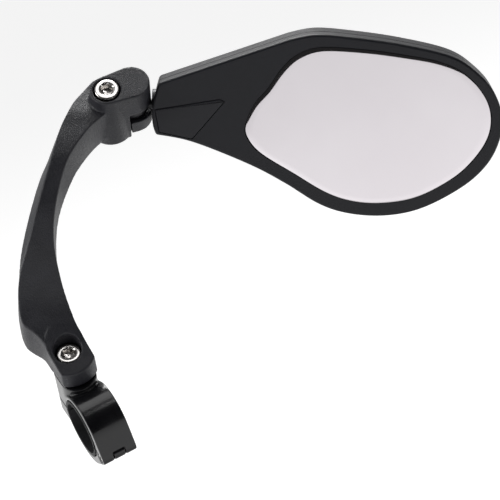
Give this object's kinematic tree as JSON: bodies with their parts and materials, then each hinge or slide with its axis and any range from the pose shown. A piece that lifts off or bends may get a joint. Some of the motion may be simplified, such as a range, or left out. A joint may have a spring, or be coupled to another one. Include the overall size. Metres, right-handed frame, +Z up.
{
  "type": "handlebar mirror",
  "caption": "Rear-view mirror on a curved arm with a ball joint, held by a hinged clamp that closes round a handlebar.",
  "frame": {"origin": "middle of the clamp's bore, on the axis of the handlebar", "axes": "+X along the handlebar towards the mirror head, +Z up, +Y forwards, away from the side that the glass faces"},
  "size_m": [0.2116, 0.0843, 0.141],
  "materials": {
    "clamp_black": "gloss black lacquered aluminium, machined side faces slightly duller",
    "screw_steel": "bright stainless steel with a knurled head edge",
    "shim_rubber": "matt black rubber",
    "washer_polymer": "satin black low-friction plastic",
    "arm_moulded": "charcoal glass-filled plastic with a fine spark-eroded grain",
    "stud_black": "black oxide steel",
    "housing_moulded": "charcoal plastic with a very fine grain",
    "mirror_glass": "convex first-surface mirror glass",
    "pad_foam": "grey closed-cell foam tape"
  },
  "bodies": {
    "clamp": {"clamp_body": "clamp_black", "clamp_hinge_pin": "screw_steel", "bar_shim_upper": "shim_rubber", "pivot_friction_washer": "washer_polymer"},
    "jaw": {"clamp_jaw": "clamp_black", "bar_shim_lower": "shim_rubber"},
    "bolt": {"clamp_bolt": "screw_steel"},
    "arm": {"arm": "arm_moulded", "ball_clamp_screw": "screw_steel", "ball_clamp_washer": "screw_steel"},
    "socket": {"socket_jaw": "arm_moulded", "ball_clamp_nut": "screw_steel"},
    "liner": {"ball_liner": "washer_polymer"},
    "stud": {"ball_stud": "stud_black"},
    "head": {"mirror_rear_shell": "housing_moulded", "mirror_bezel": "housing_moulded", "stud_cover": "housing_moulded", "mirror_lens": "mirror_glass", "lens_pad": "pad_foam", "stud_saddle": "housing_moulded", "stud_screw_lower": "screw_steel", "stud_screw_upper": "screw_steel"}
  },
  "joints": [
    {"name": "clamp_bolt_unscrew", "type": "slide", "parent": "clamp", "child": "bolt", "axis": [0, -0.5299, 0.848], "range_m": [0, 0.018]},
    {"name": "clamp_jaw_open", "type": "hinge", "parent": "clamp", "child": "jaw", "pos_m": [0, -0.01333, -0.01057], "axis": [-1, 0, 0], "range_deg": [0, 36]},
    {"name": "arm_swivel", "type": "hinge", "parent": "clamp", "child": "arm", "pos_m": [0, 0.01552, 0.0097], "axis": [0, -0.5299, 0.848], "continuous": true},
    {"name": "socket_jaw_release", "type": "slide", "parent": "arm", "child": "socket", "axis": [0.0525, 0.6944, -0.7177], "range_m": [0, 0.001]},
    {"name": "ball_yaw", "type": "hinge", "parent": "arm", "child": "liner", "pos_m": [0.06927, 0.02355, 0.10852], "axis": [-0.0525, -0.6944, 0.7177], "range_deg": [-35, 35]},
    {"name": "ball_pitch", "type": "hinge", "parent": "liner", "child": "stud", "pos_m": [0.06927, 0.02355, 0.10852], "axis": [0.5167, 0.5961, 0.6145], "range_deg": [-3.5, 3.5]},
    {"name": "head_spin", "type": "hinge", "parent": "stud", "child": "head", "pos_m": [0.06927, 0.02355, 0.10852], "axis": [0.8546, -0.4031, -0.3275], "continuous": true}
  ],
  "couplings": [
    {"joint": "clamp_jaw_open", "follows": "clamp_bolt_unscrew", "rad_per_m": 34.907}
  ]
}
